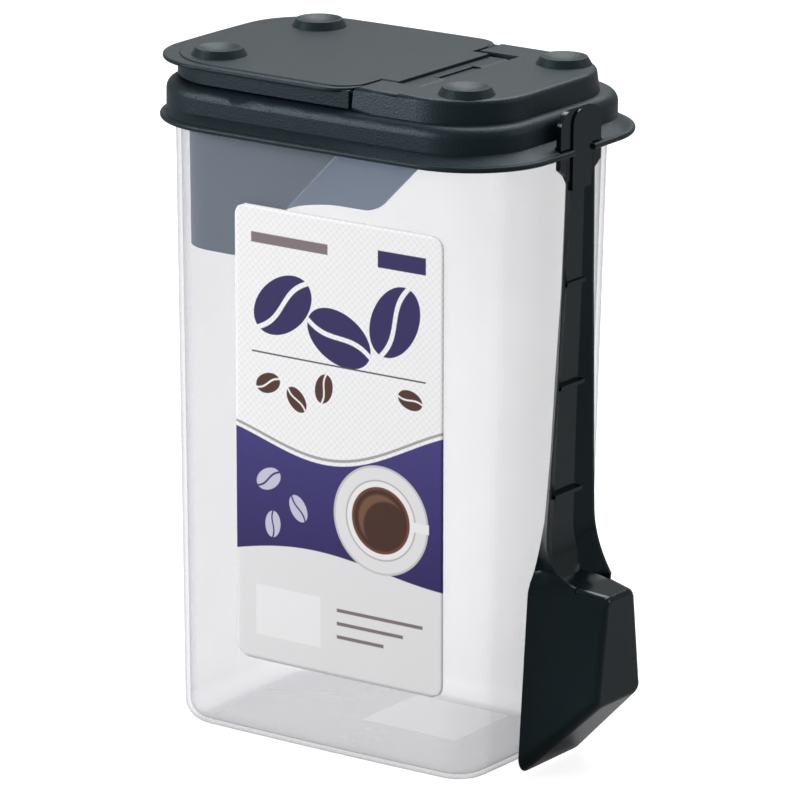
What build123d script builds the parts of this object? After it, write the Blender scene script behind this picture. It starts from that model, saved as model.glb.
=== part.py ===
"""Coffee dispenser: frosted storage container with a flip-top lid, scoop and bag gripper.

Lengths are in millimetres. The origin is the centre of the container's base.
X runs from the front, under the flip cap, to the rear, where the scoop hangs.
Y runs across, with the label on the minus Y side, and Z is up.
"""

import math
import os

from build123d import *

# Container
container_height = 199.0
container_half_length = 56.1
container_half_width = 37.0
container_corner_radius = 12.8
container_bow = 0.85
container_floor_radius = 7.0
wall_thickness = 1.5
draft_angle = 0.97
bead_height = 3.0
bead_depth = 0.7

# Lid skirt, flange and deck
flange_below_mouth = 8.4
flange_thickness = 1.8
flange_reach_length = 3.9
flange_reach_width = 4.6
flange_radius_gain = 5.9
flange_centre_x = 2.04
flange_bow = 1.07
flange_edge_radius = 0.8
flare_height = 3.0
flare_inset = 1.4
skirt_half_length = 63.6
skirt_half_width = 43.3
skirt_radius = 22.5
skirt_bow = 1.0
skirt_wall = 1.5
skirt_inner_radius = 20.0
shoulder_radius = 3.5
deck_above_mouth = 3.75
deck_thickness = 1.8

# Plug ring that seals inside the container's mouth
plug_clearance = 0.3
plug_thickness = 1.2
plug_depth = 8.0

# Raised rear deck
upper_half_length = 61.5
upper_half_width = 40.1
upper_radius = 24.9
upper_centre_x = -1.28
upper_draft = 8.5
plateau_height = 6.95
plateau_root = 1.0
plateau_front_x = 13.2
plateau_edge_radius = 1.5
plateau_skin = 1.8

# Hinge
hinge_x = 24.5
hinge_drop = 3.2
barrel_radius = 2.2
barrel_core_radius = 1.8
barrel_half_width = 24.5
barrel_joint_near_y = -9.0
barrel_joint_far_y = 10.0
barrel_joint_gap = 0.6
barrel_flat_drop = 0.5
pin_radius = 1.5
pin_clearance = 0.06
pin_length = 2.9
recess_half_width = 26.0
recess_rear_gap = 4.2
recess_wall = 1.8

# Mouth in the deck
mouth_half_length = 55.5
mouth_half_width = 34.0
mouth_radius = 20.0
mouth_rear_x = 7.0
mouth_rear_radius = 6.0
mouth_rim_height = 2.6
mouth_rim_thickness = 1.4

# Flip cap
cap_half_length = 65.3
cap_half_width = 42.45
cap_radius = 24.0
cap_bow = 1.5
cap_rear_gap = 0.5
cap_rear_radius = 9.0
cap_lip_thickness = 1.3
cap_panel_rise = 0.4
cap_panel_inset = 0.4
cap_wall_gap = 0.65
cap_wall_thickness = 1.6
cap_edge_radius = 0.5
cap_panel_radius = 0.35
tab_half_width = 24.5
tab_step_gap = 5.6
tab_low_thickness = 1.8

# Stacking feet
foot_height = 2.3
foot_base_radius = 8.5
foot_top_radius = 7.14
foot_dish_radius = 6.5
foot_dish_depth = 1.3
cap_foot_x = -45.0
plateau_foot_x = 44.5
foot_y = 26.0

# Bag gripper
gripper_half_length = 55.9
gripper_half_width = 36.8
gripper_radius = 13.8
gripper_wall = 1.4
gripper_above_mouth = 1.0
gripper_height = 48.5
slant_upper_x = 4.7
slant_upper_drop = 13.0
slant_lower_x = -27.6
slant_lower_drop = 46.7
gripper_corner_radius = 10.0
rib_gap = 0.15
rib_width = 6.0
rib_height = 5.0
rib_front_y = 8.0
rib_side_x = -10.0

# Label
label_thickness = 0.2
label_left_x = -29.0
label_right_x = 46.2
label_bottom_z = 27.0
label_top_gap = 29.5
label_corner_radius = 4.0

# Scoop clip
clip_gap = 2.6
clip_thickness = 1.6
strip_rise = 0.6
strip_half_width = 5.1
notch_clearance = 0.3
notch_inner_gap = 0.4
wing_half_width = 10.9
wing_height = 11.2
wing_corner_radius = 5.0
wing_gap = 0.4
tab_top_gap = 0.3
tab_height = 3.3
tab_taper = 2.4
tab_bottom_half_width = 7.4
clip_below_flange = 10.6
clip_bottom_half_width = 4.2
pocket_clearance = 0.8

# Scoop handle
handle_edge = 0.9
handle_top_gap = 1.6
straight_shares = (1.0, 0.883, 0.649, 0.423, 0.18, 0.0)
flare_rise = 16.6
flare_drops = (8.0, 13.0, 17.8)
handle_rim_x = (67.9, 67.8, 67.6, 67.5, 66.9, 66.6, 67.6, 70.0, 75.0)
handle_rim_half = (6.6, 7.0, 7.8, 9.0, 10.8, 12.2, 12.7, 12.0, 9.2)
handle_floor_half = (3.6, 3.75, 4.1, 4.7, 5.2, 5.8, 6.3, 6.6, 6.0)
handle_back_half = (4.1, 4.25, 4.6, 5.2, 5.9, 7.4, 9.8, 12.2, 14.0)
handle_depth = (0.9, 1.0, 1.3, 2.3, 2.6, 2.8, 3.4, 4.6, 8.0)
handle_skin = (1.6, 1.6, 1.6, 1.6, 1.6, 1.8, 2.3, 3.3, 5.6)
rib_shares = (0.658, 0.374, 0.072)
rib_thickness = 1.2
rib_share = 0.65
rib_root = 0.8
handle_root = 4.6
handle_root_taper = 4.0

# Scoop bowl
bowl_rim_x = 61.2
bowl_rim_top_z = 61.4
bowl_rim_bottom_z = 1.2
bowl_rim_top_half = 14.4
bowl_rim_bottom_half = 18.7
bowl_rim_radius = 5.0
bowl_face_x = 84.9
bowl_face_top_z = 58.0
bowl_face_bottom_z = 24.8
bowl_face_top_half = 7.6
bowl_face_bottom_half = 12.4
bowl_face_radius = 3.4
bowl_edge_radius = 2.0
bowl_skin = 1.6

# Derived sizes
draft_slope = math.tan(math.radians(draft_angle))
floor_rise = draft_slope * wall_thickness
flange_bottom_z = container_height - flange_below_mouth
flange_half_length = skirt_half_length + flange_reach_length
flange_half_width = skirt_half_width + flange_reach_width
flange_radius = skirt_radius + flange_radius_gain
deck_top_z = container_height + deck_above_mouth
plateau_top_z = deck_top_z + plateau_height
hinge_z = plateau_top_z - hinge_drop
cap_wall_bottom_z = deck_top_z + cap_wall_gap
label_top_z = container_height - label_top_gap
deck_bottom_z = deck_top_z - deck_thickness
flange_top_z = flange_bottom_z + flange_thickness
mouth_level_half_length = container_half_length + draft_slope * container_height
mouth_level_half_width = container_half_width + draft_slope * container_height
mouth_level_radius = container_corner_radius + draft_slope * container_height
plug_bottom_z = deck_bottom_z - plug_depth
plug_inset = wall_thickness + plug_clearance + draft_slope * (container_height - plug_bottom_z)
plug_half_length = mouth_level_half_length - plug_inset
plug_half_width = mouth_level_half_width - plug_inset
plug_radius = mouth_level_radius - plug_inset
plug_inner_length = plug_half_length - plug_thickness
plug_inner_width = plug_half_width - plug_thickness
recess_rear_x = hinge_x + recess_rear_gap
cavity_inset = plateau_skin + plateau_height * math.tan(math.radians(upper_draft))
cap_rear_x = plateau_front_x - cap_rear_gap
cap_centre_x = upper_centre_x
cap_lip_top_z = plateau_top_z - cap_panel_rise
cap_lip_bottom_z = cap_lip_top_z - cap_lip_thickness
tab_step_x = hinge_x - tab_step_gap
clip_inner_x = skirt_half_length + clip_gap
barrel_top_z = hinge_z + barrel_radius
cut_reach = 90.0


def bowed_face(half_length, half_width, radius, bow, centre_x=0.0):
    """Rounded rectangle whose four sides bulge outward by the bow."""
    side_x = half_length - bow
    side_y = half_width - bow
    left = centre_x - side_x
    right = centre_x + side_x
    with BuildSketch(Plane.XY, mode=Mode.PRIVATE) as outline:
        with BuildLine():
            ThreePointArc((left, -side_y), (centre_x, -half_width), (right, -side_y))
            ThreePointArc((right, -side_y), (centre_x + half_length, 0), (right, side_y))
            ThreePointArc((right, side_y), (centre_x, half_width), (left, side_y))
            ThreePointArc((left, side_y), (centre_x - half_length, 0), (left, -side_y))
        make_face()
        fillet(outline.vertices(), radius)
    return outline.sketch


def keep_front(limit_x):
    """Trim the open sketch to the part in front of limit_x."""
    with Locations((limit_x - cut_reach, 0)):
        Rectangle(2 * cut_reach, 2 * cut_reach, mode=Mode.INTERSECT)


def keep_rear(limit_x):
    """Trim the open sketch to the part behind limit_x."""
    with Locations((limit_x + cut_reach, 0)):
        Rectangle(2 * cut_reach, 2 * cut_reach, mode=Mode.INTERSECT)


def dished_feet(centre_x, base_z):
    """Two stacking feet with a concave top, one on each side."""
    ball_radius = (foot_dish_radius ** 2 + foot_dish_depth ** 2) / (2 * foot_dish_depth)
    with Locations((centre_x, -foot_y, base_z), (centre_x, foot_y, base_z)):
        Cone(foot_base_radius, foot_top_radius, foot_height,
             align=(Align.CENTER, Align.CENTER, Align.MIN))
    ball_z = base_z + foot_height - foot_dish_depth + ball_radius
    with Locations((centre_x, -foot_y, ball_z), (centre_x, foot_y, ball_z)):
        Sphere(ball_radius, mode=Mode.SUBTRACT)


def on_flange_rim(edge):
    """Whether an edge runs round the outside of the flange."""
    centre = edge.center()
    outside_x = abs(centre.X) > skirt_half_length
    outside_y = abs(centre.Y) > skirt_half_width
    corner_reach = math.hypot(centre.X - flange_centre_x, centre.Y)
    corner = corner_reach > math.hypot(skirt_half_length, skirt_half_width) - skirt_radius / 2
    return (outside_x or outside_y or corner) and centre.Z < flange_top_z + flange_edge_radius


os.makedirs("parts", exist_ok=True)

# Space inside the container
with BuildPart(mode=Mode.PRIVATE) as cavity:
    with BuildSketch(Plane.XY.offset(wall_thickness)):
        add(bowed_face(container_half_length + floor_rise - wall_thickness,
                       container_half_width + floor_rise - wall_thickness,
                       container_corner_radius + floor_rise - wall_thickness, container_bow))
    extrude(amount=container_height, taper=-draft_angle)
    fillet(cavity.edges().group_by(Axis.Z)[0], container_floor_radius - wall_thickness)

# Container
with BuildPart() as container:
    with BuildSketch(Plane.XY):
        add(bowed_face(container_half_length, container_half_width,
                       container_corner_radius, container_bow))
    extrude(amount=container_height, taper=-draft_angle)
    fillet(container.edges().group_by(Axis.Z)[0], container_floor_radius)
    add(cavity.part, mode=Mode.SUBTRACT)
    with BuildSketch(Plane.XY.offset(container_height - bead_height)):
        add(bowed_face(mouth_level_half_length + bead_depth, mouth_level_half_width + bead_depth,
                       mouth_level_radius + bead_depth, container_bow))
        add(bowed_face(mouth_level_half_length - wall_thickness / 2,
                       mouth_level_half_width - wall_thickness / 2,
                       mouth_level_radius - wall_thickness / 2, container_bow),
            mode=Mode.SUBTRACT)
    extrude(amount=bead_height)
container.part.label = "container"
export_step(container.part, "parts/container.step")

# Label
with BuildPart() as label:
    with BuildSketch(Plane.XY):
        add(bowed_face(container_half_length + label_thickness,
                       container_half_width + label_thickness,
                       container_corner_radius + label_thickness, container_bow))
    extrude(amount=container_height, taper=-draft_angle)
    with BuildSketch(Plane.XY):
        add(bowed_face(container_half_length, container_half_width,
                       container_corner_radius, container_bow))
    extrude(amount=container_height, taper=-draft_angle, mode=Mode.SUBTRACT)
    with BuildSketch(Plane.XZ):
        with Locations(((label_left_x + label_right_x) / 2, (label_bottom_z + label_top_z) / 2)):
            RectangleRounded(label_right_x - label_left_x, label_top_z - label_bottom_z,
                             label_corner_radius)
    extrude(amount=cut_reach, mode=Mode.INTERSECT)
label.part.label = "label"
export_step(label.part, "parts/label.step")

# Lid base
with BuildPart() as lid_base:
    # Skirt with its rounded shoulder
    with BuildSketch(Plane.XY.offset(flange_bottom_z)):
        add(bowed_face(skirt_half_length, skirt_half_width, skirt_radius, skirt_bow))
    extrude(amount=deck_top_z - flange_bottom_z)
    fillet(lid_base.edges().group_by(Axis.Z)[-1], shoulder_radius)
    # Raised rear deck
    with BuildSketch(Plane.XY.offset(deck_top_z - plateau_root)):
        add(bowed_face(upper_half_length, upper_half_width, upper_radius, skirt_bow,
                       upper_centre_x))
    extrude(amount=plateau_top_z - deck_top_z + plateau_root, taper=upper_draft)
    with Locations((plateau_front_x, 0, deck_top_z)):
        Box(2 * cut_reach, 2 * cut_reach, cut_reach,
            align=(Align.MAX, Align.CENTER, Align.MIN), mode=Mode.SUBTRACT)
    fillet(lid_base.faces().sort_by(Axis.Z)[-1].edges(), plateau_edge_radius)
    # Hinge recess
    with Locations((recess_rear_x, 0, deck_top_z)):
        Box(cut_reach, 2 * recess_half_width, cut_reach,
            align=(Align.MAX, Align.CENTER, Align.MIN), mode=Mode.SUBTRACT)
    # Flange and its flare
    with BuildSketch(Plane.XY.offset(flange_bottom_z)):
        add(bowed_face(flange_half_length, flange_half_width, flange_radius, flange_bow,
                       flange_centre_x))
    extrude(amount=flange_thickness)
    fillet(lid_base.edges().filter_by(on_flange_rim), flange_edge_radius)
    with BuildSketch(Plane.XY.offset(flange_top_z)):
        add(bowed_face(flange_half_length - flare_inset, flange_half_width - flare_inset,
                       flange_radius - flare_inset, flange_bow, flange_centre_x))
    with BuildSketch(Plane.XY.offset(flange_top_z + flare_height)):
        add(bowed_face(skirt_half_length - skirt_wall / 2, skirt_half_width - skirt_wall / 2,
                       skirt_radius - skirt_wall / 2, skirt_bow))
    loft(ruled=True)
    # Hollow under the deck
    with BuildSketch(Plane.XY.offset(flange_bottom_z)):
        add(bowed_face(skirt_half_length - skirt_wall, skirt_half_width - skirt_wall,
                       skirt_inner_radius, container_bow))
    extrude(amount=deck_bottom_z - flange_bottom_z, mode=Mode.SUBTRACT)
    # Plug ring
    with BuildSketch(Plane.XY.offset(plug_bottom_z)):
        add(bowed_face(plug_half_length, plug_half_width, plug_radius, container_bow))
        add(bowed_face(plug_inner_length, plug_inner_width, plug_radius - plug_thickness,
                       container_bow), mode=Mode.SUBTRACT)
    extrude(amount=plug_depth + deck_thickness / 2)
    # Mouth with its upstanding rim
    with BuildSketch(Plane.XY.offset(deck_bottom_z)) as mouth_rim:
        add(bowed_face(mouth_half_length, mouth_half_width, mouth_radius, container_bow,
                       upper_centre_x))
        keep_front(mouth_rear_x)
        fillet(mouth_rim.vertices().sort_by(Axis.X)[-2:], mouth_rear_radius)
    extrude(amount=deck_thickness + mouth_rim_height)
    with BuildSketch(Plane.XY.offset(deck_bottom_z)) as mouth_bore:
        add(bowed_face(mouth_half_length - mouth_rim_thickness,
                       mouth_half_width - mouth_rim_thickness,
                       mouth_radius - mouth_rim_thickness, container_bow, upper_centre_x))
        keep_front(mouth_rear_x - mouth_rim_thickness)
        fillet(mouth_bore.vertices().sort_by(Axis.X)[-2:], mouth_rear_radius - mouth_rim_thickness)
    extrude(amount=deck_thickness + mouth_rim_height, mode=Mode.SUBTRACT)
    # Hollow inside the raised rear deck, around the hinge recess
    with BuildSketch(Plane.XY.offset(deck_bottom_z)):
        add(bowed_face(plug_inner_length, plug_inner_width, plug_radius - plug_thickness,
                       container_bow))
        add(bowed_face(upper_half_length - cavity_inset, upper_half_width - cavity_inset,
                       upper_radius - cavity_inset, skirt_bow, upper_centre_x),
            mode=Mode.INTERSECT)
        keep_rear(plateau_front_x + plateau_skin)
        with Locations((recess_rear_x + recess_wall - cut_reach / 2, 0)):
            Rectangle(cut_reach, 2 * (recess_half_width + recess_wall), mode=Mode.SUBTRACT)
    extrude(amount=plateau_top_z - plateau_skin - deck_bottom_z, mode=Mode.SUBTRACT)
    # Holes for the hinge pins
    with Locations((hinge_x, 0, hinge_z)):
        Cylinder(pin_radius + pin_clearance, 2 * (recess_half_width + 2 * recess_wall),
                 rotation=(90, 0, 0), mode=Mode.SUBTRACT)
    # Seat and notch for the scoop clip
    with Locations((clip_inner_x - notch_inner_gap, 0, flange_top_z)):
        Box(cut_reach, 2 * (wing_half_width + pocket_clearance), flare_height,
            align=(Align.MIN, Align.CENTER, Align.MIN), mode=Mode.SUBTRACT)
    with Locations((clip_inner_x - notch_inner_gap, 0, flange_bottom_z)):
        Box(cut_reach, 2 * (strip_half_width + notch_clearance), flange_thickness,
            align=(Align.MIN, Align.CENTER, Align.MIN), mode=Mode.SUBTRACT)
    dished_feet(plateau_foot_x, plateau_top_z)
lid_base.part.label = "lid_base"
export_step(lid_base.part, "parts/lid_base.step")

# Flip cap
with BuildPart() as flip_cap:
    # Lip plate with the tab that reaches the hinge
    with BuildSketch(Plane.XY.offset(cap_lip_bottom_z)) as lip_outline:
        add(bowed_face(cap_half_length, cap_half_width, cap_radius, cap_bow, cap_centre_x))
        keep_front(cap_rear_x)
        fillet(lip_outline.vertices().sort_by(Axis.X)[-2:], cap_rear_radius)
        with Locations((tab_step_x / 2, 0)):
            Rectangle(tab_step_x, 2 * tab_half_width)
    extrude(amount=cap_lip_thickness)
    fillet(flip_cap.edges().group_by(Axis.Z)[-1], cap_edge_radius)
    fillet(flip_cap.edges().group_by(Axis.Z)[0], cap_edge_radius)
    # Slightly raised panel
    with BuildSketch(Plane.XY.offset(cap_lip_bottom_z)) as panel_outline:
        add(bowed_face(upper_half_length - cap_panel_inset, upper_half_width - cap_panel_inset,
                       upper_radius - cap_panel_inset, skirt_bow, upper_centre_x))
        keep_front(cap_rear_x)
        fillet(panel_outline.vertices().sort_by(Axis.X)[-2:], cap_rear_radius - cap_panel_inset)
        with Locations((tab_step_x / 2, 0)):
            Rectangle(tab_step_x, 2 * tab_half_width - 2 * cap_edge_radius)
    extrude(amount=cap_lip_thickness + cap_panel_rise)
    fillet(flip_cap.edges().group_by(Axis.Z)[-1], cap_panel_radius)
    # Wall under the lip, open at the rear
    with BuildSketch(Plane.XY.offset(cap_wall_bottom_z)):
        add(bowed_face(upper_half_length, upper_half_width, upper_radius, skirt_bow,
                       upper_centre_x))
        add(bowed_face(upper_half_length - cap_wall_thickness,
                       upper_half_width - cap_wall_thickness,
                       upper_radius - cap_wall_thickness, skirt_bow, upper_centre_x),
            mode=Mode.SUBTRACT)
        keep_front(cap_rear_x - cap_edge_radius)
    extrude(amount=cap_lip_bottom_z + cap_lip_thickness / 2 - cap_wall_bottom_z)
    # Lower step of the tab, down to the barrel
    with Locations((hinge_x, 0, barrel_top_z)):
        Box(tab_step_gap + 2 * cap_lip_thickness, 2 * tab_half_width, tab_low_thickness,
            align=(Align.MAX, Align.CENTER, Align.MAX))
    # Hinge barrel in three runs with a pin at each end
    with Locations((hinge_x, 0, hinge_z)):
        Cylinder(barrel_radius, 2 * barrel_half_width, rotation=(90, 0, 0))
    for joint_y in (barrel_joint_near_y, barrel_joint_far_y):
        with BuildSketch(Plane.XZ.offset(-joint_y - barrel_joint_gap / 2)):
            with Locations((hinge_x, hinge_z)):
                Circle(barrel_radius + wall_thickness)
                Circle(barrel_core_radius, mode=Mode.SUBTRACT)
        extrude(amount=barrel_joint_gap, mode=Mode.SUBTRACT)
    with Locations((hinge_x - barrel_core_radius, barrel_joint_near_y,
                    barrel_top_z - barrel_flat_drop)):
        Box(2 * cut_reach, barrel_joint_far_y - barrel_joint_near_y, cut_reach,
            align=(Align.MIN, Align.MIN, Align.MIN), mode=Mode.SUBTRACT)
    with Locations((hinge_x, 0, hinge_z)):
        Cylinder(pin_radius, 2 * (barrel_half_width + pin_length), rotation=(90, 0, 0))
    dished_feet(cap_foot_x, plateau_top_z)
flip_cap.part.label = "flip_cap"
export_step(flip_cap.part, "parts/flip_cap.step")

# Bag gripper
gripper_top_z = container_height + gripper_above_mouth
gripper_bottom_z = gripper_top_z - gripper_height
slant_upper_z = gripper_top_z - slant_upper_drop
slant_lower_z = gripper_top_z - slant_lower_drop
gripper_narrowing = draft_slope * gripper_height
slant_run = (slant_upper_x - slant_lower_x) / (slant_upper_z - slant_lower_z)
slant_margin = 2.0
slant_bottom_z = gripper_bottom_z - slant_margin
slant_top_z = gripper_top_z + slant_margin
slant_bottom_x = slant_upper_x + slant_run * (slant_bottom_z - slant_upper_z)
slant_top_x = slant_upper_x + slant_run * (slant_top_z - slant_upper_z)
with BuildPart() as bag_gripper:
    with BuildSketch(Plane.XY.offset(gripper_bottom_z)):
        add(bowed_face(gripper_half_length - gripper_narrowing,
                       gripper_half_width - gripper_narrowing,
                       gripper_radius - gripper_narrowing, container_bow))
    extrude(amount=gripper_height, taper=-draft_angle)
    with BuildSketch(Plane.XY.offset(gripper_bottom_z)):
        add(bowed_face(gripper_half_length - gripper_narrowing - gripper_wall,
                       gripper_half_width - gripper_narrowing - gripper_wall,
                       gripper_radius - gripper_narrowing - gripper_wall, container_bow))
    extrude(amount=gripper_height, taper=-draft_angle, mode=Mode.SUBTRACT)
    with BuildSketch(Plane.XZ):
        with BuildLine():
            Polyline((slant_bottom_x, slant_bottom_z), (slant_top_x, slant_top_z),
                     (cut_reach, slant_top_z), (cut_reach, slant_bottom_z), close=True)
        make_face()
    extrude(amount=cut_reach, both=True, mode=Mode.SUBTRACT)
    fillet(bag_gripper.edges().filter_by(Axis.Y).group_by(Axis.Z)[0], gripper_corner_radius)
    # Ribs that grip inside the plug ring
    rib_z = gripper_top_z - rib_height / 2
    rib_front_x = -(plug_inner_length - rib_gap)
    rib_side_y = plug_inner_width - rib_gap
    with Locations((rib_front_x, -rib_front_y, rib_z), (rib_front_x, rib_front_y, rib_z)):
        Box(gripper_wall, rib_width, rib_height,
            align=(Align.MIN, Align.CENTER, Align.CENTER))
    with Locations((rib_side_x, -rib_side_y, rib_z)):
        Box(rib_width, gripper_wall, rib_height,
            align=(Align.CENTER, Align.MIN, Align.CENTER))
    with Locations((rib_side_x, rib_side_y, rib_z)):
        Box(rib_width, gripper_wall, rib_height,
            align=(Align.CENTER, Align.MAX, Align.CENTER))
bag_gripper.part.label = "bag_gripper"
export_step(bag_gripper.part, "parts/bag_gripper.step")

# Scoop
tab_top_z = flange_bottom_z - tab_top_gap
wing_bottom_z = flange_top_z + wing_gap
wing_top_z = wing_bottom_z + wing_height
clip_bottom_z = flange_bottom_z - clip_below_flange
tab_side_z = tab_top_z - tab_height
tab_bottom_z = tab_side_z - tab_taper
handle_top_z = flange_bottom_z - handle_top_gap
flare_top_z = bowl_rim_top_z + flare_rise
straight_run = handle_top_z - flare_top_z
straight_levels = tuple(flare_top_z + share * straight_run for share in straight_shares)
flare_levels = tuple(flare_top_z - drop for drop in flare_drops)
handle_levels = straight_levels + flare_levels
rib_levels = tuple(flare_top_z + share * straight_run for share in rib_shares)


def handle_section(index):
    """Cross section of the trough-shaped handle at one level."""
    rim = handle_rim_x[index]
    floor = rim - handle_depth[index]
    back = floor - handle_skin[index]
    back_half = handle_back_half[index]
    rim_half = handle_rim_half[index]
    floor_half = handle_floor_half[index]
    with BuildSketch(Plane.XY, mode=Mode.PRIVATE) as section:
        with BuildLine():
            Polyline((rim, -rim_half - handle_edge), (rim, -rim_half), (floor, -floor_half),
                     (floor, floor_half), (rim, rim_half), (rim, rim_half + handle_edge),
                     (back, back_half), (back, -back_half), close=True)
        make_face()
    return section.sketch


def handle_value(level, values):
    """A handle dimension at any level, straight between the two nearest levels."""
    upper = max(index for index, z in enumerate(handle_levels) if z >= level)
    lower = min(upper + 1, len(handle_levels) - 1)
    span = handle_levels[upper] - handle_levels[lower]
    share = (handle_levels[upper] - level) / span if span else 0.0
    return values[upper] + share * (values[lower] - values[upper])


def bowl_section(top_z, bottom_z, top_half, bottom_half, radius):
    """Rounded trapezoid across the bowl, drawn with its height along local Y."""
    with BuildSketch(Plane.XY, mode=Mode.PRIVATE) as section:
        with BuildLine():
            Polyline((-bottom_half, bottom_z), (bottom_half, bottom_z),
                     (top_half, top_z), (-top_half, top_z), close=True)
        make_face()
        fillet(section.vertices(), radius)
    return section.sketch


with BuildPart() as scoop:
    # Handle: straight runs down to the flare, then one smooth flare into the bowl
    for index, level in enumerate(straight_levels):
        with BuildSketch(Plane.XY.offset(level)):
            add(handle_section(index))
    loft(ruled=True)
    for index in range(len(straight_levels) - 1, len(handle_levels)):
        with BuildSketch(Plane.XY.offset(handle_levels[index])):
            add(handle_section(index))
    loft()
    # Root of the flare, sunk into the bowl's top
    with BuildSketch(Plane.XY.offset(handle_levels[-1])):
        add(handle_section(len(handle_levels) - 1))
    extrude(amount=-handle_root, taper=handle_root_taper)
    # Cross ribs in the trough
    for level in rib_levels:
        rib_floor_x = handle_value(level, handle_rim_x) - handle_value(level, handle_depth)
        rib_rise = rib_share * handle_value(level, handle_depth)
        rib_half = handle_value(level, handle_floor_half) + rib_rise
        with Locations((rib_floor_x - rib_root, 0, level)):
            Box(rib_root + rib_rise, 2 * rib_half, rib_thickness,
                align=(Align.MIN, Align.CENTER, Align.CENTER))
    # Clip plate: wings above the flange, neck in its notch, tabs below
    with BuildSketch(Plane.YZ.offset(clip_inner_x)) as clip_plate:
        with BuildLine():
            Polyline((-clip_bottom_half_width, clip_bottom_z),
                     (clip_bottom_half_width, clip_bottom_z),
                     (tab_bottom_half_width, tab_bottom_z), (wing_half_width, tab_side_z),
                     (wing_half_width, tab_top_z), (strip_half_width, tab_top_z),
                     (strip_half_width, wing_bottom_z), (wing_half_width, wing_bottom_z),
                     (wing_half_width, wing_top_z), (-wing_half_width, wing_top_z),
                     (-wing_half_width, wing_bottom_z), (-strip_half_width, wing_bottom_z),
                     (-strip_half_width, tab_top_z), (-wing_half_width, tab_top_z),
                     (-wing_half_width, tab_side_z), (-tab_bottom_half_width, tab_bottom_z),
                     close=True)
        make_face()
        fillet(clip_plate.vertices().group_by(Axis.Y)[-1], wing_corner_radius)
    extrude(amount=clip_thickness)
    with BuildSketch(Plane.YZ.offset(clip_inner_x)) as centre_strip:
        with Locations((0, (clip_bottom_z + wing_top_z) / 2)):
            Rectangle(2 * strip_half_width, wing_top_z - clip_bottom_z)
        fillet(centre_strip.vertices().group_by(Axis.Y)[-1], strip_half_width * 0.9)
    extrude(amount=clip_thickness + strip_rise)
    # Bowl
    with BuildSketch(Plane.YZ.offset(bowl_rim_x)):
        add(bowl_section(bowl_rim_top_z, bowl_rim_bottom_z, bowl_rim_top_half,
                         bowl_rim_bottom_half, bowl_rim_radius))
    with BuildSketch(Plane.YZ.offset(bowl_face_x)):
        add(bowl_section(bowl_face_top_z, bowl_face_bottom_z, bowl_face_top_half,
                         bowl_face_bottom_half, bowl_face_radius))
    loft()
    fillet(scoop.faces().sort_by(Axis.X)[-1].edges(), bowl_edge_radius)
    with BuildSketch(Plane.YZ.offset(bowl_rim_x)):
        add(bowl_section(bowl_rim_top_z - bowl_skin, bowl_rim_bottom_z + bowl_skin,
                         bowl_rim_top_half - bowl_skin, bowl_rim_bottom_half - bowl_skin,
                         bowl_rim_radius - bowl_skin))
    with BuildSketch(Plane.YZ.offset(bowl_face_x - bowl_skin)):
        add(bowl_section(bowl_face_top_z - bowl_skin, bowl_face_bottom_z + bowl_skin,
                         bowl_face_top_half - bowl_skin, bowl_face_bottom_half - bowl_skin,
                         bowl_face_radius - bowl_skin / 2))
    loft(mode=Mode.SUBTRACT)
scoop.part.label = "scoop"
export_step(scoop.part, "parts/scoop.step")
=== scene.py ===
"""Looks of the coffee dispenser: finishes, printed label, studio stage and camera.

Lengths are in metres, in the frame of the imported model. X runs from the flip cap at the
front to the scoop at the rear, the label faces minus Y, and Z is up.
"""

import math

import bpy
import numpy as np
from bpy.props import FloatProperty, FloatVectorProperty, PointerProperty
from mathutils import Matrix, Vector


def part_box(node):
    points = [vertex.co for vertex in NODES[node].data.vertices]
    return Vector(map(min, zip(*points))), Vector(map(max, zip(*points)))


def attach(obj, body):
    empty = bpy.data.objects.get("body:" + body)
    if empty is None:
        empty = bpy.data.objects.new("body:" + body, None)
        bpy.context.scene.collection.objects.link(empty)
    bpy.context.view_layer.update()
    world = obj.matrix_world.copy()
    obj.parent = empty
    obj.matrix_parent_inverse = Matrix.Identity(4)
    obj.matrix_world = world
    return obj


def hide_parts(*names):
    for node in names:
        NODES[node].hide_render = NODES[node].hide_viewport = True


bl_info = {
    "name": "Coffee Dispenser",
    "version": (1, 0, 0),
    "blender": (4, 5, 0),
    "location": "3D View > Sidebar > Dispenser",
    "description": "Finishes, label and stage of a coffee dispenser",
    "category": "Object",
}

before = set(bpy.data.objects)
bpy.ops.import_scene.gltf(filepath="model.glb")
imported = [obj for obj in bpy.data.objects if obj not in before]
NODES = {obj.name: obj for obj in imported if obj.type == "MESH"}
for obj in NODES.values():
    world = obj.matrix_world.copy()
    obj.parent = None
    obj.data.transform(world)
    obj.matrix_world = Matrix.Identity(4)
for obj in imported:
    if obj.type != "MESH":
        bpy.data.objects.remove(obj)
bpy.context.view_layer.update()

MM = 0.001

# Container wall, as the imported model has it
WALL_HALF_LENGTH = 56.1 * MM
WALL_HALF_WIDTH = 37.0 * MM
WALL_BOW = 0.85 * MM
WALL_SLOPE = math.tan(math.radians(0.97))
LABEL_SKIN = 0.17 * MM
LABEL_CORNER = 4.0 * MM
LABEL_FILM_SHARE = 0.7
LABEL_ROWS = 120
LABEL_COLUMNS = 64

NOISE_DETAIL = 3.0

# Moulded plastic
DRIFT_GAIN = 1.25
DRIFT_LIFT = 0.001
GRAIN_DEPTH = 0.4 * MM
# Soft edge between outer faces and the painted light on inner faces
INNER_SOFTNESS = 4.0 * MM

# Frosted wall
CLOUD_SCALE = 22.0
CLOUD_SHADE = 0.93
FROST_SCALE = 1400.0
FROST_DETAIL = 2.0
FROST_STRENGTH = 0.05
FROST_DEPTH = 0.3 * MM
FACE_COVER_LEAST = 0.85
FACE_COVER_SWING = 0.3
EDGE_BLEND = 0.32
EDGE_POWER = 2.2
EDGE_COVER = 0.75
WALL_ROUGHNESS = 0.34

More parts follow.
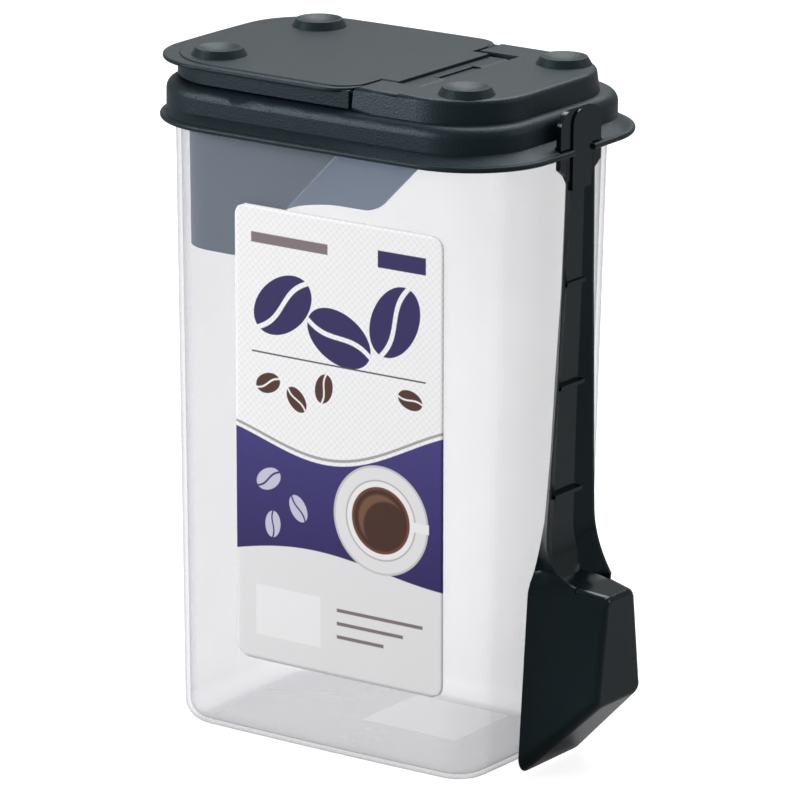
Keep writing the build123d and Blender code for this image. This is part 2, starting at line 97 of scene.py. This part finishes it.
# Label's film
FIBRE_SCALE = 900.0
FIBRE_STRENGTH = 0.06
FIBRE_DEPTH = 0.2 * MM
FIBRE_SWING = 0.10
FILM_ROUGHNESS = 0.40
INK_GLOSS = 0.08

# Print on the label, in millimetres from its lower left corner
PRINT_EDGE = 0.12
MESH_PITCH = 2.2
MESH_INK = 0.16
MESH_LEVEL = 0.13
MESH_EDGE = 0.05
FOOT_WHITENESS = 0.80

# Two slow waves: height, rise, length, phase and lean
BAND_CREST = (69.0, 6.5, 104.0, 2.5, 0.10)
BAND_TROUGH = (33.0, 4.0, 120.0, 0.3, 0.05)
BAND_GLOW_START = 30.0
BAND_GLOW_SLOPE = 0.011
BAND_GLOW_MOST = 0.55
LINE_ABOVE_CREST = 1.6
LINE_HALF = 0.45
LINE_INK = 0.75

# Beans: across, up, half length and turn in degrees
LARGE_BEANS = ((17.5, 113.0, 12.0, 38.0), (38.0, 106.0, 12.0, -24.0), (58.0, 114.0, 12.0, 62.0))
BROWN_BEANS = ((12.0, 88.0, 4.6, 20.0), (22.5, 84.5, 4.4, -48.0),
               (32.5, 89.5, 4.7, 75.0), (63.5, 91.0, 4.4, -15.0))
PALE_BEANS = ((12.0, 58.0, 4.8, 30.0), (23.0, 50.5, 4.4, -60.0), (13.5, 44.0, 4.2, 85.0))
BEAN_SLIMNESS = 1.5
SLIT_TURN = 2.6
SLIT_WAVE = 0.13
SLIT_HALF = 0.065

# Cup seen from above: rings from the outside in, and its grip
CUP_CENTRE = (53.0, 52.0)
CUP_RINGS = ((17.0, (0.62, 0.60, 0.61, 1.0)), (16.3, (0.83, 0.82, 0.83, 1.0)),
             (12.6, (0.50, 0.48, 0.49, 1.0)), (12.1, (0.90, 0.90, 0.91, 1.0)),
             (10.4, (0.16, 0.045, 0.018, 1.0)), (9.5, (0.055, 0.014, 0.006, 1.0)))
CUP_GRIP = (11.4, 17.2, 1.5)
COFFEE_GLOW_RADIUS = 8.0
COFFEE_GLOW_SHADE = (2.2, 8.4)
COFFEE_GLOW_EDGE = 0.4
COFFEE_GLOW_SHARE = 0.35

# Plain blocks: left, right, bottom and top
HEAD_BAND = (6.0, 34.0, 131.0, 134.2)
HEAD_RULE = (6.0, 69.0, 97.0, 97.5)
CORNER_BLOCK = (52.0, 69.0, 130.0, 135.2)
BLANK_PANEL = (7.0, 31.0, 8.0, 24.0)
FOOT_RULES = 3
FOOT_RULE_LEFT = 37.0
FOOT_RULE_RIGHT = 68.0
FOOT_RULE_SHORTER = 7.0
FOOT_RULE_TOP = 20.5
FOOT_RULE_STEP = 4.2
FOOT_RULE_HEIGHT = 1.1

# Printed colours that the panel doesn't offer
PRINT_WHITE = (0.90, 0.90, 0.91, 1.0)
PRINT_BLACK = (0.06, 0.06, 0.07, 1.0)
PRINT_BROWN = (0.070, 0.020, 0.010, 1.0)
PRINT_LILAC = (0.60, 0.58, 0.72, 1.0)
PRINT_VIOLET = (0.075, 0.060, 0.30, 1.0)
COFFEE_GLOW = (0.40, 0.20, 0.10, 1.0)

# Soft boxes: name, place, size and power
SOFT_BOXES = (("overhead_box", (-0.15, 0.62, 1.30), 1.2, 22.0),
              ("label_box", (-1.25, -1.55, 0.70), 0.9, 31.0),
              ("rear_box", (1.5, 0.9, 0.8), 0.5, 3.0))
FLOOR_REACH = 4.0
FLOOR_POINTS = 9
FLOOR_COLOUR = (0.32, 0.32, 0.325, 1.0)
FLOOR_ROUGHNESS = 0.75
FLOOR_SHINE = 0.2
FLOOR_GLOW = 0.88
WORLD_LIGHT = 0.38

# Viewpoint of the photograph
VIEW_AZIMUTH = 34.533
VIEW_PITCH = 15.451
VIEW_ROLL = 0.573
VIEW_DISTANCE = 1.8772
VIEW_TARGET = Vector((0.0, 0.0, 0.106))
VIEW_LENS = 278.2
VIEW_SENSOR = 36.0
VIEW_SHIFT = (0.0143, -0.0087)


class DispenserSettings(bpy.types.PropertyGroup):
    """Sizes and colours of the dispenser's finish."""

    lid_colour: FloatVectorProperty(
        name="Lid", description="Colour of the moulded lid and cap", subtype="COLOR",
        size=3, min=0.0, max=1.0, default=(0.0050, 0.0110, 0.0145))
    scoop_colour: FloatVectorProperty(
        name="Scoop", description="Colour of the glossy scoop", subtype="COLOR",
        size=3, min=0.0, max=1.0, default=(0.0022, 0.0062, 0.0075))
    gripper_colour: FloatVectorProperty(
        name="Bag gripper", description="Colour of the gripper behind the wall",
        subtype="COLOR", size=3, min=0.0, max=1.0, default=(0.006, 0.052, 0.105))
    # Painted light: a paler copy of the gripper colour for its inner faces, standing for light
    # that has passed through the wall
    gripper_inner_painted_light: FloatVectorProperty(
        name="Bag gripper inside", description="Colour of the gripper's inner faces",
        subtype="COLOR", size=3, min=0.0, max=1.0, default=(0.42, 0.72, 1.00))
    wall_colour: FloatVectorProperty(
        name="Container", description="Colour of the frosted wall", subtype="COLOR",
        size=3, min=0.0, max=1.0, default=(0.61, 0.60, 0.65))
    wall_cover: FloatProperty(
        name="Frosting", description="Share of light that one face of the wall holds back",
        min=0.0, max=1.0, subtype="FACTOR", default=0.15)
    ground_colour: FloatVectorProperty(
        name="Label ground", description="White ground of the label", subtype="COLOR",
        size=3, min=0.0, max=1.0, default=(0.97, 0.97, 0.98))
    indigo_colour: FloatVectorProperty(
        name="Label indigo", description="Main printed colour", subtype="COLOR",
        size=3, min=0.0, max=1.0, default=(0.014, 0.006, 0.100))
    taupe_colour: FloatVectorProperty(
        name="Label taupe", description="Second printed colour", subtype="COLOR",
        size=3, min=0.0, max=1.0, default=(0.215, 0.168, 0.180))
    grain_size: FloatProperty(
        name="Grain", description="Size of the moulded grain on the lid", unit="LENGTH",
        min=0.0001, max=0.005, default=0.0006)


def settings():
    """Values set in the panel."""
    return bpy.context.scene.dispenser


# Shader helpers

def node_group(name, inputs, outputs):
    """An empty shader node group with its sockets, and its two end nodes."""
    group = bpy.data.node_groups.new(name, "ShaderNodeTree")
    for socket_name, socket_type, value in inputs:
        socket = group.interface.new_socket(
            name=socket_name, in_out="INPUT", socket_type=socket_type)
        if value is not None:
            socket.default_value = value
    for socket_name, socket_type in outputs:
        group.interface.new_socket(
            name=socket_name, in_out="OUTPUT", socket_type=socket_type)
    return group, group.nodes.new("NodeGroupInput"), group.nodes.new("NodeGroupOutput")


class Sums:
    """Writes arithmetic as math nodes of one tree."""

    def __init__(self, tree):
        self.tree = tree

    def feed(self, socket, value):
        if hasattr(value, "is_output"):
            self.tree.links.new(value, socket)
        else:
            socket.default_value = value

    def math(self, operation, *values):
        node = self.tree.nodes.new("ShaderNodeMath")
        node.operation = operation
        for socket, value in zip(node.inputs, values):
            self.feed(socket, value)
        return node.outputs[0]

    def add(self, a, b):
        return self.math("ADD", a, b)

    def sub(self, a, b):
        return self.math("SUBTRACT", a, b)

    def mul(self, a, b):
        return self.math("MULTIPLY", a, b)

    def most(self, a, b):
        return self.math("MAXIMUM", a, b)

    def least(self, a, b):
        return self.math("MINIMUM", a, b)

    def step(self, distance, soft):
        """1 where the distance is below zero, 0 above, with a soft edge."""
        node = self.tree.nodes.new("ShaderNodeMapRange")
        self.feed(node.inputs["Value"], distance)
        node.inputs["From Min"].default_value = soft
        node.inputs["From Max"].default_value = -soft
        return node.outputs["Result"]

    def mix(self, share, below, above):
        node = self.tree.nodes.new("ShaderNodeMix")
        node.data_type = "RGBA"
        self.feed(node.inputs["Factor"], share)
        self.feed(node.inputs["A"], below)
        self.feed(node.inputs["B"], above)
        return node.outputs["Result"]


def colour(values):
    """Three colour values with full opacity."""
    return (*values, 1.0)


def noise(tree, vector, scale, detail):
    """A noise texture's value at the vector."""
    node = tree.nodes.new("ShaderNodeTexNoise")
    node.inputs["Scale"].default_value = scale
    node.inputs["Detail"].default_value = detail
    tree.links.new(vector, node.inputs["Vector"])
    return node.outputs["Fac"]


def moulded_grain_group():
    """Fine moulded grain: a height for a bump, and a slow change for colour and roughness."""
    group, start, end = node_group(
        "moulded_grain",
        [("Vector", "NodeSocketVector", None), ("Fineness", "NodeSocketFloat", 1600.0),
         ("Drift", "NodeSocketFloat", 18.0)],
        [("Height", "NodeSocketFloat"), ("Drift", "NodeSocketFloat")])
    for name, output in (("Fineness", "Height"), ("Drift", "Drift")):
        texture = group.nodes.new("ShaderNodeTexNoise")
        texture.inputs["Detail"].default_value = NOISE_DETAIL
        group.links.new(start.outputs["Vector"], texture.inputs["Vector"])
        group.links.new(start.outputs[name], texture.inputs["Scale"])
        group.links.new(texture.outputs["Fac"], end.inputs[output])
    return group


def plastic(name, base, roughness, fineness, bump, shine, drift=18.0, swing=0.05,
            inside=None, tint=(1.0, 1.0, 1.0)):
    """Moulded plastic: grain in the normal, and a slow drift in tone and roughness.

    With a colour for its inside, faces that look towards the upright middle axis get that
    one as painted light: a paler copy standing for light that has passed through the wall.
    """
    material = bpy.data.materials.new(name)
    material.use_nodes = True
    tree = material.node_tree
    sums = Sums(tree)
    shader = tree.nodes["Principled BSDF"]
    place = tree.nodes.new("ShaderNodeTexCoord")
    grain = tree.nodes.new("ShaderNodeGroup")
    grain.node_tree = bpy.data.node_groups.get("moulded_grain") or moulded_grain_group()
    grain.inputs["Fineness"].default_value = fineness
    grain.inputs["Drift"].default_value = drift
    tree.links.new(place.outputs["Object"], grain.inputs["Vector"])
    paler = [min(1.0, value * DRIFT_GAIN + DRIFT_LIFT) for value in base]
    tone = sums.mix(grain.outputs["Drift"], colour(base), colour(paler))
    # Painted light: inner faces take a paler lit copy of the colour, standing for light through
    # the wall
    if inside is not None:
        facing = tree.nodes.new("ShaderNodeVectorMath")
        facing.operation = "DOT_PRODUCT"
        tree.links.new(place.outputs["Object"], facing.inputs[0])
        tree.links.new(place.outputs["Normal"], facing.inputs[1])
        inner = sums.step(facing.outputs["Value"], INNER_SOFTNESS)
        tone = sums.mix(inner, tone, colour(inside))
    tree.links.new(tone, shader.inputs["Base Color"])
    shader.inputs["Specular IOR Level"].default_value = shine
    shader.inputs["Specular Tint"].default_value = colour(tint)
    spread = sums.add(sums.mul(grain.outputs["Drift"], 2 * swing), roughness - swing)
    tree.links.new(spread, shader.inputs["Roughness"])
    relief = tree.nodes.new("ShaderNodeBump")
    relief.inputs["Strength"].default_value = bump
    relief.inputs["Distance"].default_value = GRAIN_DEPTH
    tree.links.new(grain.outputs["Height"], relief.inputs["Height"])
    tree.links.new(relief.outputs["Normal"], shader.inputs["Normal"])
    return material


def frosted_wall(name, base, cover):
    """Milky wall: lets most light through face on, and more opaque seen edge on."""
    material = bpy.data.materials.new(name)
    material.use_nodes = True
    tree = material.node_tree
    sums = Sums(tree)
    shader = tree.nodes["Principled BSDF"]
    place = tree.nodes.new("ShaderNodeTexCoord")
    cloud = noise(tree, place.outputs["Object"], CLOUD_SCALE, NOISE_DETAIL)
    frost = noise(tree, place.outputs["Object"], FROST_SCALE, FROST_DETAIL)
    edge = tree.nodes.new("ShaderNodeLayerWeight")
    edge.inputs["Blend"].default_value = EDGE_BLEND
    edge_cover = sums.mul(sums.math("POWER", edge.outputs["Facing"], EDGE_POWER), EDGE_COVER)
    face_cover = sums.add(cover * FACE_COVER_LEAST, sums.mul(cloud, cover * FACE_COVER_SWING))
    whole = sums.least(sums.add(face_cover, edge_cover), 1.0)
    tree.links.new(whole, shader.inputs["Alpha"])
    deeper = [value * CLOUD_SHADE for value in base]
    tone = sums.mix(cloud, colour(deeper), colour(base))
    tree.links.new(tone, shader.inputs["Base Color"])
    shader.inputs["Roughness"].default_value = WALL_ROUGHNESS
    relief = tree.nodes.new("ShaderNodeBump")
    relief.inputs["Strength"].default_value = FROST_STRENGTH
    relief.inputs["Distance"].default_value = FROST_DEPTH
    tree.links.new(frost, relief.inputs["Height"])
    tree.links.new(relief.outputs["Normal"], shader.inputs["Normal"])
    return material


def label_print_group():
    """Generic print: dot mesh, indigo wave, cup seen from above, beans and plain bands.

    Every shape is a signed distance in millimetres from the label's lower left corner,
    negative inside, turned into a mask with a soft edge.
    """
    group, start, end = node_group(
        "label_print",
        [("Across", "NodeSocketFloat", 0.0), ("Up", "NodeSocketFloat", 0.0),
         ("Ground", "NodeSocketColor", None), ("Indigo", "NodeSocketColor", None),
         ("Taupe", "NodeSocketColor", None)],
        [("Color", "NodeSocketColor"), ("Ink", "NodeSocketFloat")])
    sums = Sums(group)
    across = start.outputs["Across"]
    up = start.outputs["Up"]
    ground = start.outputs["Ground"]
    indigo = start.outputs["Indigo"]
    taupe = start.outputs["Taupe"]

    def disc(x, y, radius):
        dx = sums.sub(across, x)
        dy = sums.sub(up, y)
        reach = sums.math("SQRT", sums.add(sums.mul(dx, dx), sums.mul(dy, dy)))
        return sums.sub(reach, radius)

    def block(x0, x1, y0, y1):
        dx = sums.sub(sums.math("ABSOLUTE", sums.sub(across, (x0 + x1) / 2)), (x1 - x0) / 2)
        dy = sums.sub(sums.math("ABSOLUTE", sums.sub(up, (y0 + y1) / 2)), (y1 - y0) / 2)
        return sums.most(dx, dy)

    def bean(x, y, long_half, turn):
        """Ellipse with a curved slit along its long axis."""
        c = math.cos(math.radians(turn))
        s = math.sin(math.radians(turn))
        dx = sums.sub(across, x)
        dy = sums.sub(up, y)
        along = sums.add(sums.mul(dx, c), sums.mul(dy, s))
        side = sums.sub(sums.mul(dy, c), sums.mul(dx, s))
        wide = sums.mul(side, BEAN_SLIMNESS)
        body = sums.sub(sums.math("SQRT", sums.add(sums.mul(along, along),
                                                   sums.mul(wide, wide))), long_half)
        wave = sums.mul(sums.math("SINE", sums.mul(along, SLIT_TURN / long_half)),
                        SLIT_WAVE * long_half)
        slit = sums.sub(sums.math("ABSOLUTE", sums.sub(side, wave)), SLIT_HALF * long_half)
        return sums.most(body, sums.mul(slit, -1.0))

    def curve(base, rise, length, phase, lean):
        """Height of a slow wave over the label's width."""
        turn = sums.math("SINE", sums.add(sums.mul(across, 2 * math.pi / length), phase))
        return sums.add(sums.add(sums.mul(turn, rise), base), sums.mul(across, lean))

    # Dot mesh on the upper ground
    tilt_a = sums.math("SINE", sums.mul(sums.add(across, up), math.pi / MESH_PITCH))
    tilt_b = sums.math("SINE", sums.mul(sums.sub(across, up), math.pi / MESH_PITCH))
    mesh = sums.math("ABSOLUTE", sums.mul(tilt_a, tilt_b))
    mesh_mask = sums.mul(sums.step(sums.sub(mesh, MESH_LEVEL), MESH_EDGE), MESH_INK)
    sheet = sums.mix(mesh_mask, ground, taupe)

    # Two waves: indigo band, and the pale taupe ground under it
    crest = curve(*BAND_CREST)
    trough = curve(*BAND_TROUGH)
    band = sums.most(sums.sub(up, crest), sums.sub(trough, up))
    base_mask = sums.step(sums.sub(up, trough), PRINT_EDGE)
    pale = sums.mix(FOOT_WHITENESS, taupe, ground)
    sheet = sums.mix(base_mask, sheet, pale)
    glow = sums.mul(sums.sub(up, BAND_GLOW_START), BAND_GLOW_SLOPE)
    glow = sums.least(sums.most(glow, 0.0), BAND_GLOW_MOST)
    lit_indigo = sums.mix(glow, indigo, PRINT_VIOLET)
    band_mask = sums.step(band, PRINT_EDGE)
    sheet = sums.mix(band_mask, sheet, lit_indigo)
    above_crest = sums.sub(up, sums.add(crest, LINE_ABOVE_CREST))
    line = sums.sub(sums.math("ABSOLUTE", above_crest), LINE_HALF)
    sheet = sums.mix(sums.mul(sums.step(line, PRINT_EDGE), LINE_INK), sheet, taupe)

    # Cup seen from above, low on the right
    cup_x, cup_y = CUP_CENTRE
    for radius, tone in CUP_RINGS:
        sheet = sums.mix(sums.step(disc(cup_x, cup_y, radius), PRINT_EDGE), sheet, tone)
    grip_start, grip_end, grip_half = CUP_GRIP
    grip = block(cup_x + grip_start, cup_x + grip_end, cup_y - grip_half, cup_y + grip_half)
    sheet = sums.mix(sums.step(grip, PRINT_EDGE), sheet, PRINT_WHITE)
    shade_shift, shade_radius = COFFEE_GLOW_SHADE
    shade = disc(cup_x + shade_shift, cup_y - shade_shift, shade_radius)
    shine = sums.most(disc(cup_x, cup_y, COFFEE_GLOW_RADIUS), sums.mul(shade, -1.0))
    sheet = sums.mix(sums.mul(sums.step(shine, COFFEE_GLOW_EDGE), COFFEE_GLOW_SHARE), sheet,
                     COFFEE_GLOW)

    # Beans: large ones above in indigo, small ones between the bands and on the wave
    for beans, tone in ((LARGE_BEANS, indigo), (BROWN_BEANS, PRINT_BROWN),
                        (PALE_BEANS, PRINT_LILAC)):
        for x, y, size, turn in beans:
            sheet = sums.mix(sums.step(bean(x, y, size, turn), PRINT_EDGE), sheet, tone)

    # Plain bands and rules
    for corners, tone in ((HEAD_BAND, taupe), (HEAD_RULE, PRINT_BLACK), (CORNER_BLOCK, indigo),
                          (BLANK_PANEL, PRINT_WHITE)):
        sheet = sums.mix(sums.step(block(*corners), PRINT_EDGE), sheet, tone)
    for row in range(FOOT_RULES):
        low = FOOT_RULE_TOP - FOOT_RULE_STEP * row
        right = FOOT_RULE_RIGHT - FOOT_RULE_SHORTER * row
        rule = block(FOOT_RULE_LEFT, right, low, low + FOOT_RULE_HEIGHT)
        sheet = sums.mix(sums.step(rule, PRINT_EDGE), sheet, taupe)
    sums.feed(end.inputs["Color"], sheet)
    sums.feed(end.inputs["Ink"], band_mask)
    return group


def printed_label(name, width, height):
    """Glossy printed film that reads its own UV map, scaled to millimetres."""
    values = settings()
    material = bpy.data.materials.new(name)
    material.use_nodes = True
    tree = material.node_tree
    sums = Sums(tree)
    shader = tree.nodes["Principled BSDF"]
    place = tree.nodes.new("ShaderNodeTexCoord")
    split = tree.nodes.new("ShaderNodeSeparateXYZ")
    tree.links.new(place.outputs["UV"], split.inputs["Vector"])
    design = tree.nodes.new("ShaderNodeGroup")
    design.node_tree = label_print_group()
    sums.feed(design.inputs["Across"], sums.mul(split.outputs["X"], width / MM))
    sums.feed(design.inputs["Up"], sums.mul(split.outputs["Y"], height / MM))
    design.inputs["Ground"].default_value = colour(values.ground_colour)
    design.inputs["Indigo"].default_value = colour(values.indigo_colour)
    design.inputs["Taupe"].default_value = colour(values.taupe_colour)
    tree.links.new(design.outputs["Color"], shader.inputs["Base Color"])
    fibre = noise(tree, place.outputs["Object"], FIBRE_SCALE, NOISE_DETAIL)
    smoother_ink = sums.sub(FILM_ROUGHNESS, sums.mul(design.outputs["Ink"], INK_GLOSS))
    spread = sums.add(sums.mul(fibre, FIBRE_SWING), smoother_ink)
    tree.links.new(spread, shader.inputs["Roughness"])
    relief = tree.nodes.new("ShaderNodeBump")
    relief.inputs["Strength"].default_value = FIBRE_STRENGTH
    relief.inputs["Distance"].default_value = FIBRE_DEPTH
    tree.links.new(fibre, relief.inputs["Height"])
    tree.links.new(relief.outputs["Normal"], shader.inputs["Normal"])
    return material


# Meshes

def grid_piece(name, points, material, uv=None):
    """A mesh from a grid of points, rows by columns, with quads between neighbours."""
    rows, columns, _ = points.shape
    index = np.arange(rows * columns).reshape(rows, columns)
    quads = np.stack([index[:-1, :-1], index[:-1, 1:], index[1:, 1:], index[1:, :-1]], axis=-1)
    mesh = bpy.data.meshes.new(name)
    mesh.from_pydata(points.reshape(-1, 3).tolist(), [], quads.reshape(-1, 4).tolist())
    mesh.shade_smooth()
    if uv is not None:
        layer = mesh.uv_layers.new(name="UVMap")
        corners = np.empty(len(mesh.loops), np.int32)
        mesh.loops.foreach_get("vertex_index", corners)
        layer.data.foreach_set("uv", uv.reshape(-1, 2)[corners].astype(np.float32).ravel())
    mesh.materials.append(material)
    piece = bpy.data.objects.new(name, mesh)
    bpy.context.scene.collection.objects.link(piece)
    return piece


def finish_node(name, material):
    """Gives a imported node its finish."""
    mesh = NODES[name].data
    mesh.materials.clear()
    mesh.materials.append(material)


def wall_depth(x, z):
    """Distance of the wide wall from the middle plane.

    The half width grows with height by the draft, less the bow's drop towards the corners.
    """
    half = WALL_HALF_WIDTH + WALL_SLOPE * z
    flat = WALL_HALF_LENGTH + WALL_SLOPE * z - WALL_BOW
    return half - WALL_BOW * (x / flat) ** 2


class DISPENSER_OT_container(bpy.types.Operator):
    """Finish of the frosted container"""

    bl_idname = "dispenser.container"
    bl_label = "Container"

    def execute(self, context):
        values = settings()
        finish = frosted_wall("frosted_wall", values.wall_colour, values.wall_cover)
        finish_node("container", finish)
        return {"FINISHED"}


class DISPENSER_OT_label(bpy.types.Operator):
    """Printed film on the container's wide wall"""

    bl_idname = "dispenser.label"
    bl_label = "Label"

    def execute(self, context):
        low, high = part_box("label")
        width = high.x - low.x
        height = high.z - low.z
        up = np.linspace(0.0, height, LABEL_ROWS)[:, None]
        near_end = np.minimum(up, height - up)
        corner = np.clip(LABEL_CORNER - near_end, 0.0, LABEL_CORNER)
        inset = LABEL_CORNER - np.sqrt(LABEL_CORNER ** 2 - corner ** 2)
        share = np.linspace(0.0, 1.0, LABEL_COLUMNS)[None, :]
        x = low.x + inset + (width - 2 * inset) * share
        z = low.z + up + 0.0 * share
        y = -(wall_depth(x, z) + LABEL_SKIN)
        points = np.stack([x, y, z], axis=-1)
        uv = np.stack([(x - low.x) / width, (z - low.z) / height], axis=-1)
        piece = grid_piece("label_print_film", points,
                           printed_label("label_paper", width, height), uv)
        skin = piece.modifiers.new("film", "SOLIDIFY")
        skin.thickness = LABEL_FILM_SHARE * LABEL_SKIN
        skin.offset = -1.0
        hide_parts("label")
        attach(piece, "container")
        return {"FINISHED"}


class DISPENSER_OT_lid(bpy.types.Operator):
    """Finish of the lid base and the flip cap"""

    bl_idname = "dispenser.lid"
    bl_label = "Lid"

    def execute(self, context):
        values = settings()
        finish = plastic("lid_plastic", values.lid_colour, roughness=0.42,
                         fineness=1.0 / values.grain_size, bump=0.30, shine=0.30,
                         tint=(0.72, 0.90, 1.0))
        for name in ("lid_base", "flip_cap"):
            finish_node(name, finish)
        return {"FINISHED"}


class DISPENSER_OT_gripper(bpy.types.Operator):
    """Finish of the bag gripper"""

    bl_idname = "dispenser.gripper"
    bl_label = "Bag gripper"

    def execute(self, context):
        values = settings()
        # Outer faces take the gripper colour; inner faces take a paler lit copy of the same
        # blue plastic as painted light
        finish = plastic("gripper_plastic", values.gripper_colour, roughness=0.5,
                         fineness=1200.0, bump=0.05, shine=0.15,
                         inside=values.gripper_inner_painted_light)
        finish_node("bag_gripper", finish)
        return {"FINISHED"}


class DISPENSER_OT_scoop(bpy.types.Operator):
    """Finish of the glossy scoop"""

    bl_idname = "dispenser.scoop"
    bl_label = "Scoop"

    def execute(self, context):
        values = settings()
        finish = plastic("scoop_plastic", values.scoop_colour, roughness=0.16,
                         fineness=300.0, bump=0.02, shine=0.30, tint=(0.75, 0.92, 1.0),
                         drift=30.0, swing=0.03)
        finish_node("scoop", finish)
        return {"FINISHED"}


class DISPENSER_OT_stage(bpy.types.Operator):
    """Pale floor, soft lights and the photograph's camera"""

    bl_idname = "dispenser.stage"
    bl_label = "Stage"

    def execute(self, context):
        self.make_floor()
        self.make_world()
        self.make_lamps()
        self.make_camera()
        return {"FINISHED"}

    def make_floor(self):
        """A flat grid, white to the camera and still darkened by shadow."""
        side = np.linspace(-FLOOR_REACH, FLOOR_REACH, FLOOR_POINTS)
        x, y = np.meshgrid(side, side)
        points = np.stack([x, y, 0.0 * x], axis=-1)
        material = bpy.data.materials.new("pale_floor")
        material.use_nodes = True
        tree = material.node_tree
        shader = tree.nodes["Principled BSDF"]
        shader.inputs["Base Color"].default_value = FLOOR_COLOUR
        shader.inputs["Roughness"].default_value = FLOOR_ROUGHNESS
        shader.inputs["Specular IOR Level"].default_value = FLOOR_SHINE
        ray = tree.nodes.new("ShaderNodeLightPath")
        sums = Sums(tree)
        seen = sums.most(ray.outputs["Is Camera Ray"], ray.outputs["Is Transmission Ray"])
        shader.inputs["Emission Color"].default_value = (1.0, 1.0, 1.0, 1.0)
        tree.links.new(sums.mul(seen, FLOOR_GLOW), shader.inputs["Emission Strength"])
        floor = grid_piece("pale_floor", points, material)

    def make_world(self):
        """White to the camera, plain grey light on the object."""
        world = bpy.data.worlds.new("studio")
        bpy.context.scene.world = world
        world.use_nodes = True
        tree = world.node_tree
        back = tree.nodes["Background"]
        back.inputs["Color"].default_value = (1.0, 1.0, 1.0, 1.0)
        ray = tree.nodes.new("ShaderNodeLightPath")
        sums = Sums(tree)
        seen = sums.most(ray.outputs["Is Camera Ray"], ray.outputs["Is Transmission Ray"])
        strength = sums.add(sums.mul(seen, 1.0 - WORLD_LIGHT), WORLD_LIGHT)
        tree.links.new(strength, back.inputs["Strength"])

    def make_lamps(self):
        """Large soft boxes: one overhead, one at the label's side and one behind."""
        for name, place, size, power in SOFT_BOXES:
            lamp = bpy.data.lights.new(name, "AREA")
            lamp.shape = "SQUARE"
            lamp.size = size
            lamp.energy = power
            holder = bpy.data.objects.new(name, lamp)
            bpy.context.scene.collection.objects.link(holder)
            holder.location = place
            aim = VIEW_TARGET - Vector(place)
            holder.rotation_euler = aim.to_track_quat("-Z", "Y").to_euler()

    def make_camera(self):
        """Camera on a circle round the target, by azimuth, pitch and a small roll."""
        azimuth = math.radians(VIEW_AZIMUTH)
        pitch = math.radians(VIEW_PITCH)
        roll = math.radians(VIEW_ROLL)
        ahead = Vector((-math.sin(azimuth) * math.cos(pitch),
                        math.cos(azimuth) * math.cos(pitch), -math.sin(pitch)))
        right = Vector((math.cos(azimuth), math.sin(azimuth), 0.0))
        above = right.cross(ahead)
        turned_right = math.cos(roll) * right + math.sin(roll) * above
        turned_above = math.cos(roll) * above - math.sin(roll) * right
        lens = bpy.data.cameras.new("photo_camera")
        lens.lens = VIEW_LENS
        lens.sensor_width = VIEW_SENSOR
        lens.shift_x, lens.shift_y = VIEW_SHIFT
        camera = bpy.data.objects.new("photo_camera", lens)
        bpy.context.scene.collection.objects.link(camera)
        turn = Matrix((turned_right, turned_above, -ahead)).transposed().to_4x4()
        camera.matrix_world = Matrix.Translation(VIEW_TARGET - VIEW_DISTANCE * ahead) @ turn
        bpy.context.scene.camera = camera
        bpy.context.scene.view_settings.view_transform = "Standard"


class DISPENSER_PT_panel(bpy.types.Panel):
    """Lists the finish's values and the pieces"""

    bl_idname = "DISPENSER_PT_panel"
    bl_label = "Dispenser"
    bl_space_type = "VIEW_3D"
    bl_region_type = "UI"
    bl_category = "Dispenser"

    def draw(self, context):
        for name in DispenserSettings.__annotations__:
            self.layout.prop(context.scene.dispenser, name)
        for operator in OPERATORS:
            self.layout.operator(operator.bl_idname)


OPERATORS = (DISPENSER_OT_stage, DISPENSER_OT_container, DISPENSER_OT_label, DISPENSER_OT_lid,
             DISPENSER_OT_gripper, DISPENSER_OT_scoop)
CLASSES = (DispenserSettings, *OPERATORS, DISPENSER_PT_panel)


def register():
    for item in CLASSES:
        bpy.utils.register_class(item)
    bpy.types.Scene.dispenser = PointerProperty(type=DispenserSettings)


def unregister():
    del bpy.types.Scene.dispenser
    for item in reversed(CLASSES):
        bpy.utils.unregister_class(item)


def main():
    register()
    bpy.ops.dispenser.stage()
    bpy.ops.dispenser.container()
    bpy.ops.dispenser.label()
    bpy.ops.dispenser.lid()
    bpy.ops.dispenser.gripper()
    bpy.ops.dispenser.scoop()


if __name__ == "__main__":
    main()
